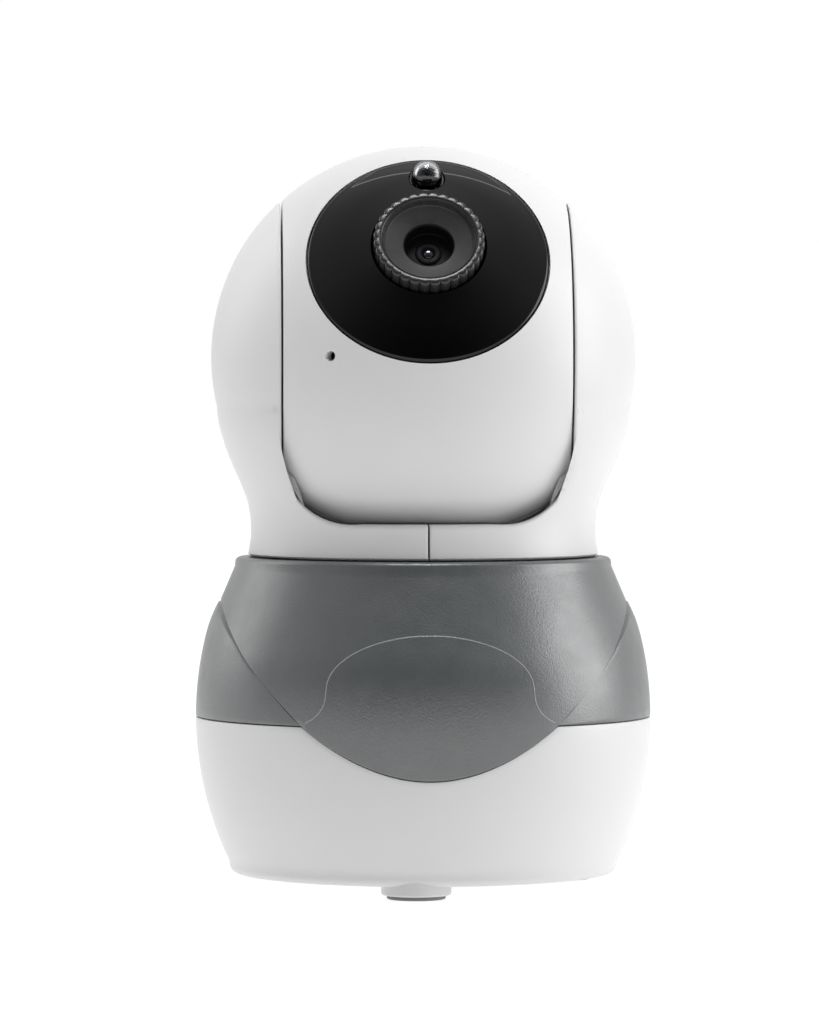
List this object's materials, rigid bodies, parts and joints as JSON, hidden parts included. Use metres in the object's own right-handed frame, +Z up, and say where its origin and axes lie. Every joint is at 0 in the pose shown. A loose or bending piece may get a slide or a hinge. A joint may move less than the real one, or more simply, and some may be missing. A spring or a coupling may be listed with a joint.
{
  "type": "baby monitor camera",
  "caption": "Baby monitor camera: a ball-shaped camera head that tilts between the ears of a yoke, panning on a round base.",
  "frame": {"origin": "centre of the base on the surface that the foot pads stand on", "axes": "+Z up along the pan axis, -Y towards the front, +X to the camera's left-hand side, which is the viewer's right"},
  "size_m": [0.08, 0.081, 0.1301],
  "materials": {
    "white_plastic": "satin moulded ABS, very fine texture",
    "grey_cover_plastic": "spark-eroded texture, soft sheen",
    "smoked_plastic": "polished, infrared-passing",
    "black_plastic": "satin black",
    "clear_plastic": "clear polished",
    "lens_glass": "coated optical glass",
    "grey_rubber": "soft matt pad",
    "acetal": "natural acetal",
    "brass": "machined",
    "plated_steel": "zinc plated",
    "ballast_steel": "plain pressed steel",
    "circuit_board": "solder resist",
    "cable_jacket": "satin vinyl"
  },
  "bodies": {
    "base": {"base_bottom_shell": "white_plastic", "base_top_cover": "grey_cover_plastic", "foot_pad_1": "grey_rubber", "foot_pad_2": "grey_rubber", "foot_pad_3": "grey_rubber", "base_screw_1": "plated_steel", "base_screw_2": "plated_steel", "base_screw_3": "plated_steel", "ballast_ring": "ballast_steel", "speaker": "black_plastic", "main_board": "circuit_board", "power_inlet": "plated_steel", "antenna_board": "circuit_board", "pan_bearing_ring": "acetal", "pair_switch": "black_plastic", "power_switch_body": "plated_steel", "pan_motor": "plated_steel", "pan_motor_screw_1": "plated_steel", "pan_motor_screw_2": "plated_steel"},
    "pinion": {"pan_pinion": "brass"},
    "pairing_button": {"pair_button": "white_plastic"},
    "power_switch": {"power_switch_knob": "black_plastic"},
    "yoke": {"yoke_right_shell": "white_plastic", "yoke_left_shell": "white_plastic", "right_cheek_plate": "white_plastic", "left_cheek_plate": "white_plastic", "pan_turntable": "black_plastic", "pan_gear": "acetal", "pan_gear_clip": "plated_steel", "tilt_shaft": "plated_steel", "tilt_bush": "acetal", "tilt_harness": "cable_jacket", "yoke_screw_1": "plated_steel", "yoke_screw_2": "plated_steel"},
    "head": {"ball_front_shell": "white_plastic", "ball_rear_shell": "white_plastic", "faceplate": "smoked_plastic", "light_sensor_dome": "clear_plastic", "light_sensor": "black_plastic", "emitter_board": "circuit_board", "lens_holder": "black_plastic", "sensor_board": "circuit_board", "image_sensor": "lens_glass", "microphone": "plated_steel", "tilt_motor": "plated_steel", "ball_screw_1": "plated_steel", "ball_screw_2": "plated_steel", "infrared_emitter_1": "clear_plastic", "infrared_emitter_2": "clear_plastic", "infrared_emitter_3": "clear_plastic", "infrared_emitter_4": "clear_plastic", "infrared_emitter_5": "clear_plastic", "infrared_emitter_6": "clear_plastic", "infrared_emitter_7": "clear_plastic", "infrared_emitter_8": "clear_plastic"},
    "focus": {"focus_ring": "black_plastic", "lens_barrel": "black_plastic", "front_lens": "lens_glass"}
  },
  "joints": [
    {"name": "pan", "type": "hinge", "parent": "base", "child": "yoke", "pos_m": [0, 0, 0.05], "axis": [0, 0, 1], "range_deg": [-170, 170]},
    {"name": "tilt", "type": "hinge", "parent": "yoke", "child": "head", "pos_m": [0, 0, 0.093], "axis": [-1, 0, 0], "range_deg": [-58, 58]},
    {"name": "focus_turn", "type": "hinge", "parent": "head", "child": "focus", "pos_m": [0, 0, 0.093], "axis": [0, -0.8387, 0.5446], "range_deg": [-90, 90]},
    {"name": "pinion_turn", "type": "hinge", "parent": "base", "child": "pinion", "pos_m": [0.00169, 0.02244, 0.045], "axis": [0, 0, 1], "range_deg": [-680, 680]},
    {"name": "pair_press", "type": "slide", "parent": "base", "child": "pairing_button", "axis": [-0.6157, -0.788, 0], "range_m": [0, 0.0008], "stiffness_N_per_m": 900, "springref_m": -0.0003},
    {"name": "power_slide", "type": "slide", "parent": "base", "child": "power_switch", "axis": [0.788, 0.6157, 0], "range_m": [0, 0.003]}
  ],
  "couplings": [
    {"joint": "pinion_turn", "follows": "pan", "ratio": -4}
  ]
}
